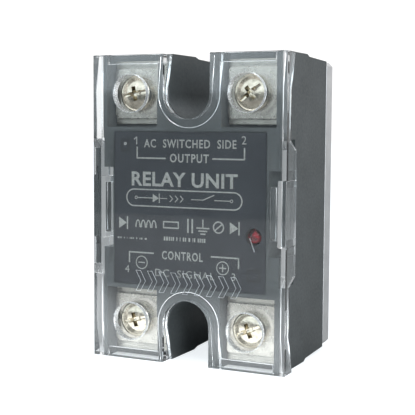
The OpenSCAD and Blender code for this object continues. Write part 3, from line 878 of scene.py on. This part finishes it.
# %% [markdown]
# ## The studio
# The relay stands on white paper in a white room, with a large lamp above and one to the
# right. Clear plastic needs something darker to reflect in its front, or it turns milky, so
# the room is dimmer in front of the relay, below a bright panel. A lit strip of paper just
# in front of the relay gives the lower end of the cover its pale reflection. The camera
# itself sees plain white paper and a white wall.

# %% Paper floor
FLOOR_SIZE = 1.2
FLOOR_FRONT = -0.3
STRIP_FRONT = (-0.11, -0.055)
STRIP_BACK = (-0.035, -0.02)
STRIP_LIGHT = 1.9
PAPER_LIGHT = 0.85
paper_bm = bmesh.new()
corners = bmesh.ops.create_grid(paper_bm, x_segments=1, y_segments=1, size=FLOOR_SIZE)["verts"]
floor_z = CAD_BOX[0][2] - 0.01 * MM
bmesh.ops.translate(paper_bm, vec=(0, FLOOR_SIZE + FLOOR_FRONT, floor_z), verts=corners)
paper_mesh = bpy.data.meshes.new("paper")
paper_bm.to_mesh(paper_mesh)
paper_bm.free()

paper = Finish("paper", (0.35, 0.35, 0.35), 0.9)
paper.shader.inputs["Emission Color"].default_value = (0.93, 0.97, 1, 1)
across = paper.tree.nodes.new("ShaderNodeSeparateXYZ")
paper.link(paper.place, across.inputs["Vector"])
strip_front = paper.between(across.outputs["Y"], *STRIP_FRONT, 0, STRIP_LIGHT)
lit_strip = paper.tree.nodes.new("ShaderNodeMath")
lit_strip.operation = "MULTIPLY"
paper.link(strip_front, lit_strip.inputs[0])
paper.link(paper.between(across.outputs["Y"], *STRIP_BACK, 1, 0), lit_strip.inputs[1])
ray = paper.tree.nodes.new("ShaderNodeLightPath")
glow = paper.tree.nodes.new("ShaderNodeMix")
paper.link(ray.outputs["Is Camera Ray"], glow.inputs["Factor"])
paper.link(lit_strip.outputs["Value"], glow.inputs["A"])
glow.inputs["B"].default_value = PAPER_LIGHT
paper.link(glow.outputs["Result"], paper.shader.inputs["Emission Strength"])
paper.bump(paper.noise(0.4 * MM), 0.02 * MM, 0.2)
paper_mesh.materials.append(paper.material)
floor = bpy.data.objects.new("paper_floor", paper_mesh)
bpy.context.scene.collection.objects.link(floor)

# %% Room light
BACK_LEFT = 0.95
BACK_RIGHT = 0.66
FRONT_LOW = 0.24
FRONT_HIGH = 0.6
PANEL_LIGHT = 1.1
PANEL_EDGE = 0.028
WHITE_WALL = 1.1
COOL = (0.84, 0.94, 1.0, 1)

world = bpy.data.worlds.new("studio")
world.use_nodes = True
bpy.context.scene.world = world
room = world.node_tree
add_node = room.nodes.new
background = room.nodes["Background"]
towards = add_node("ShaderNodeSeparateXYZ")
room.links.new(add_node("ShaderNodeTexCoord").outputs["Generated"], towards.inputs["Vector"])


def fade(value, start, end, low, high):
    """low up to start, high from end on, and smooth between."""
    node = add_node("ShaderNodeMapRange")
    node.interpolation_type = "SMOOTHSTEP"
    names = ("From Min", "From Max", "To Min", "To Max")
    for socket, number in zip(names, (start, end, low, high)):
        node.inputs[socket].default_value = number
    room.links.new(value, node.inputs["Value"])
    return node.outputs["Result"]


def combine(operation, a, b):
    node = add_node("ShaderNodeMath")
    node.operation = operation
    room.links.new(a, node.inputs[0])
    room.links.new(b, node.inputs[1])
    return node.outputs["Value"]


behind = fade(towards.outputs["Y"], -0.35, 0.1, 0, 1)
in_front = fade(towards.outputs["Y"], -0.35, 0.1, 1, 0)
back_wall = fade(towards.outputs["X"], -0.15, 0.3, BACK_LEFT, BACK_RIGHT)
front_wall = fade(towards.outputs["Z"], -0.02, 0.03, FRONT_LOW, FRONT_HIGH)
panel_start = fade(towards.outputs["Z"], PANEL_EDGE, PANEL_EDGE + 0.008, 0, PANEL_LIGHT)
panel_end = fade(towards.outputs["Z"], 0.3, 0.6, 1, 0.2)
panel = combine("MULTIPLY", panel_start, panel_end)
front_light = combine("MULTIPLY", combine("ADD", front_wall, panel), in_front)
strength = combine("ADD", front_light, combine("MULTIPLY", back_wall, behind))
room.links.new(strength, background.inputs["Strength"])
wall_color = add_node("ShaderNodeMix")
wall_color.data_type = "RGBA"
wall_color.inputs["A"].default_value = COOL
wall_color.inputs["B"].default_value = (1, 1, 1, 1)
room.links.new(behind, wall_color.inputs["Factor"])
room.links.new(wall_color.outputs["Result"], background.inputs["Color"])
plain_white = add_node("ShaderNodeBackground")
plain_white.inputs["Color"].default_value = (1, 1, 1, 1)
plain_white.inputs["Strength"].default_value = WHITE_WALL
seen = add_node("ShaderNodeMixShader")
room.links.new(add_node("ShaderNodeLightPath").outputs["Is Camera Ray"], seen.inputs["Fac"])
room.links.new(background.outputs["Background"], seen.inputs[1])
room.links.new(plain_white.outputs["Background"], seen.inputs[2])
room.links.new(seen.outputs["Shader"], room.nodes["World Output"].inputs["Surface"])

# %% Lamps
def softbox(name, at, size, power):
    """A square lamp that faces the relay's middle."""
    data = bpy.data.lights.new(name, "AREA")
    data.shape = "SQUARE"
    data.size = size
    data.energy = power
    lamp = bpy.data.objects.new(name, data)
    bpy.context.scene.collection.objects.link(lamp)
    lamp.location = at
    lamp.rotation_euler = (-Vector(at)).to_track_quat("-Z", "Y").to_euler()


# Each lamp has its place, its size in metres and its power in watts.
softbox("lamp_above", (0.05, -0.15, 0.6), 0.35, 0.85)
softbox("lamp_right", (0.45, -0.35, 0.28), 0.16, 0.8)
bpy.context.scene.view_settings.view_transform = "Standard"
